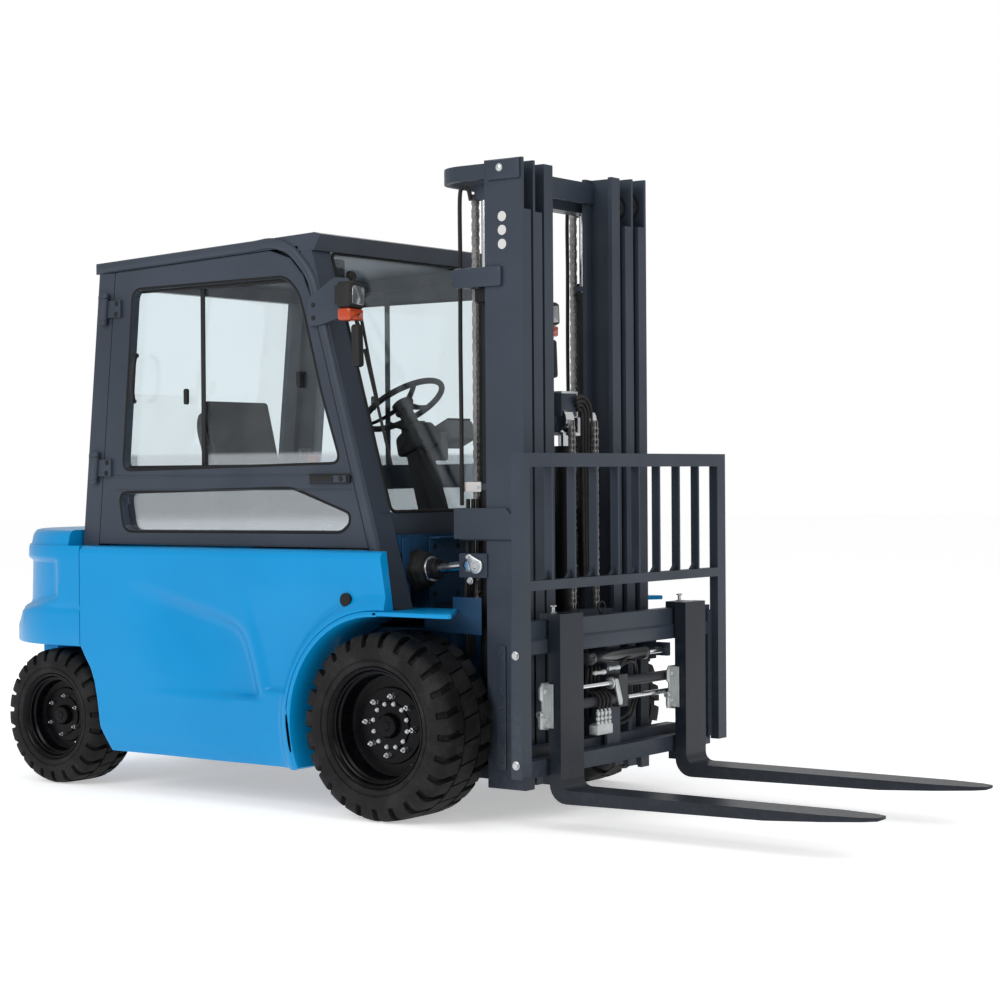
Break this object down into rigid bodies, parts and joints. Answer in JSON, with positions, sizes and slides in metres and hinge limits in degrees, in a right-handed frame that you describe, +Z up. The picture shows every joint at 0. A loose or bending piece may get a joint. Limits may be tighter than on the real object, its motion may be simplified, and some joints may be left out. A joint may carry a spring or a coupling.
{
  "type": "forklift truck",
  "caption": "Electric four-wheel counterbalance forklift with glazed cab, triplex mast, side-shifting fork positioner, load backrest and forks",
  "frame": {"origin": "centre of the bounding box on the floor that the tyres stand on", "axes": "+X forwards along the forks, +Y to the driver's left, +Z up"},
  "size_m": [4.227, 1.47, 2.463],
  "materials": {
    "blue_paint": "bright blue gloss paint",
    "dark_blue_paint": "dark blue satin paint",
    "charcoal_paint": "charcoal blue-grey semi-gloss paint",
    "black_paint": "black satin paint",
    "tyre_rubber": "matt black-brown rubber",
    "glass": "clear safety glass",
    "chrome": "polished rod",
    "fork_steel": "dark blue-grey satin painted steel",
    "black_plastic": "matt black plastic",
    "seat_fabric": "black woven fabric",
    "lamp_plastic": "black lamp housing"
  },
  "bodies": {
    "chassis": {"chassis_frame": "dark_blue_paint", "counterweight": "blue_paint", "drive_axle": "black_paint", "steer_axle": "black_paint", "battery_pack": "black_paint", "right_side_panel": "blue_paint", "left_side_panel": "blue_paint", "cab_frame": "charcoal_paint", "cab_roof": "charcoal_paint", "cab_floor": "dark_blue_paint", "windscreen": "glass", "rear_window": "glass", "seat_base": "black_plastic", "seat_cushion": "seat_fabric", "seat_back": "seat_fabric", "steering_column": "black_plastic", "steering_wheel": "black_plastic", "right_headlamp": "lamp_plastic", "left_headlamp": "lamp_plastic"},
    "mast": {"outer_mast": "charcoal_paint", "right_lift_cylinder": "black_paint", "left_lift_cylinder": "black_paint"},
    "middle_stage": {"middle_mast": "charcoal_paint", "right_lift_rod": "chrome", "left_lift_rod": "chrome"},
    "inner_stage": {"inner_mast": "charcoal_paint", "free_lift_cylinder": "black_paint"},
    "free_lift_stage": {"free_lift_head": "chrome", "right_carriage_chain": "fork_steel", "left_carriage_chain": "fork_steel"},
    "carriage_stage": {"carriage": "black_paint", "side_shift_rod": "chrome"},
    "shifter": {"side_shifter": "black_paint", "side_shift_cylinder": "black_paint", "load_backrest": "charcoal_paint", "positioner_cylinders": "black_paint"},
    "right_front_wheel": {"right_front_tyre": "tyre_rubber", "right_front_rim": "black_paint"},
    "right_hub_carrier": {"right_knuckle": "black_paint"},
    "right_rear_wheel": {"right_rear_tyre": "tyre_rubber", "right_rear_rim": "black_paint"},
    "right_door_leaf": {"right_door": "charcoal_paint", "right_door_glass": "glass"},
    "right_tilt_barrel": {"right_tilt_cylinder": "black_paint"},
    "right_tilt_ram": {"right_tilt_rod": "chrome"},
    "right_fork_arm": {"right_fork": "fork_steel", "right_positioner_rod": "chrome"},
    "left_front_wheel": {"left_front_tyre": "tyre_rubber", "left_front_rim": "black_paint"},
    "left_hub_carrier": {"left_knuckle": "black_paint"},
    "left_rear_wheel": {"left_rear_tyre": "tyre_rubber", "left_rear_rim": "black_paint"},
    "left_door_leaf": {"left_door": "charcoal_paint", "left_door_glass": "glass"},
    "left_tilt_barrel": {"left_tilt_cylinder": "black_paint"},
    "left_tilt_ram": {"left_tilt_rod": "chrome"},
    "left_fork_arm": {"left_fork": "fork_steel", "left_positioner_rod": "chrome"}
  },
  "joints": [
    {"name": "right_front_wheel_spin", "type": "hinge", "parent": "chassis", "child": "right_front_wheel", "pos_m": [0.1765, -0.585, 0.353], "axis": [0, 1, 0], "continuous": true},
    {"name": "right_steer", "type": "hinge", "parent": "chassis", "child": "right_hub_carrier", "pos_m": [-1.6335, -0.47, 0.285], "axis": [0, 0, 1], "range_deg": [-60, 60]},
    {"name": "right_rear_wheel_spin", "type": "hinge", "parent": "right_hub_carrier", "child": "right_rear_wheel", "pos_m": [-1.6335, -0.545, 0.285], "axis": [0, 1, 0], "continuous": true},
    {"name": "right_door_hinge", "type": "hinge", "parent": "chassis", "child": "right_door_leaf", "pos_m": [-1.38378, -0.636, 1.33], "axis": [-0.098, 0, -0.9952], "range_deg": [0, 95]},
    {"name": "right_tilt_anchor", "type": "hinge", "parent": "chassis", "child": "right_tilt_barrel", "pos_m": [-0.3035, -0.4, 0.885], "axis": [0, -1, 0], "range_deg": [-1, 1]},
    {"name": "right_tilt_stroke", "type": "slide", "parent": "right_tilt_barrel", "child": "right_tilt_ram", "axis": [0.9957, 0, 0.0922], "range_m": [-0.12, 0.08]},
    {"name": "right_fork_slide", "type": "slide", "parent": "shifter", "child": "right_fork_arm", "axis": [0, 1, 0], "range_m": [-0.08, 0.31]},
    {"name": "left_front_wheel_spin", "type": "hinge", "parent": "chassis", "child": "left_front_wheel", "pos_m": [0.1765, 0.585, 0.353], "axis": [0, 1, 0], "continuous": true},
    {"name": "left_steer", "type": "hinge", "parent": "chassis", "child": "left_hub_carrier", "pos_m": [-1.6335, 0.47, 0.285], "axis": [0, 0, 1], "range_deg": [-60, 60]},
    {"name": "left_rear_wheel_spin", "type": "hinge", "parent": "left_hub_carrier", "child": "left_rear_wheel", "pos_m": [-1.6335, 0.545, 0.285], "axis": [0, 1, 0], "continuous": true},
    {"name": "left_door_hinge", "type": "hinge", "parent": "chassis", "child": "left_door_leaf", "pos_m": [-1.38378, 0.636, 1.33], "axis": [0.098, 0, 0.9952], "range_deg": [0, 95]},
    {"name": "left_tilt_anchor", "type": "hinge", "parent": "chassis", "child": "left_tilt_barrel", "pos_m": [-0.3035, 0.4, 0.885], "axis": [0, -1, 0], "range_deg": [-1, 1]},
    {"name": "left_tilt_stroke", "type": "slide", "parent": "left_tilt_barrel", "child": "left_tilt_ram", "axis": [0.9957, 0, 0.0922], "range_m": [-0.12, 0.08]},
    {"name": "left_fork_slide", "type": "slide", "parent": "shifter", "child": "left_fork_arm", "axis": [0, 1, 0], "range_m": [-0.31, 0.08]},
    {"name": "mast_tilt", "type": "hinge", "parent": "chassis", "child": "mast", "pos_m": [0.4165, 0, 0.353], "axis": [0, -1, 0], "range_deg": [-6, 10]},
    {"name": "middle_lift", "type": "slide", "parent": "mast", "child": "middle_stage", "axis": [0, 0, 1], "range_m": [0, 1.6]},
    {"name": "inner_lift", "type": "slide", "parent": "middle_stage", "child": "inner_stage", "axis": [0, 0, 1], "range_m": [0, 1.6]},
    {"name": "carriage_lift", "type": "slide", "parent": "inner_stage", "child": "carriage_stage", "axis": [0, 0, 1], "range_m": [0, 1.24], "deforming": ["right_carriage_chain", "left_carriage_chain"]},
    {"name": "free_lift", "type": "slide", "parent": "inner_stage", "child": "free_lift_stage", "axis": [0, 0, 1], "range_m": [0, 0.62]},
    {"name": "side_shift", "type": "slide", "parent": "carriage_stage", "child": "shifter", "axis": [0, 1, 0], "range_m": [-0.1, 0.1]}
  ],
  "couplings": [
    {"joint": "right_tilt_anchor", "follows": "mast_tilt", "ratio": 0.02},
    {"joint": "right_tilt_stroke", "follows": "mast_tilt", "m_per_rad": -0.595},
    {"joint": "left_tilt_anchor", "follows": "mast_tilt", "ratio": 0.02},
    {"joint": "left_tilt_stroke", "follows": "mast_tilt", "m_per_rad": -0.595},
    {"joint": "left_steer", "follows": "right_steer", "ratio": 1},
    {"joint": "left_fork_slide", "follows": "right_fork_slide", "ratio": -1},
    {"joint": "inner_lift", "follows": "middle_lift", "ratio": 1},
    {"joint": "free_lift", "follows": "carriage_lift", "ratio": 0.5}
  ]
}
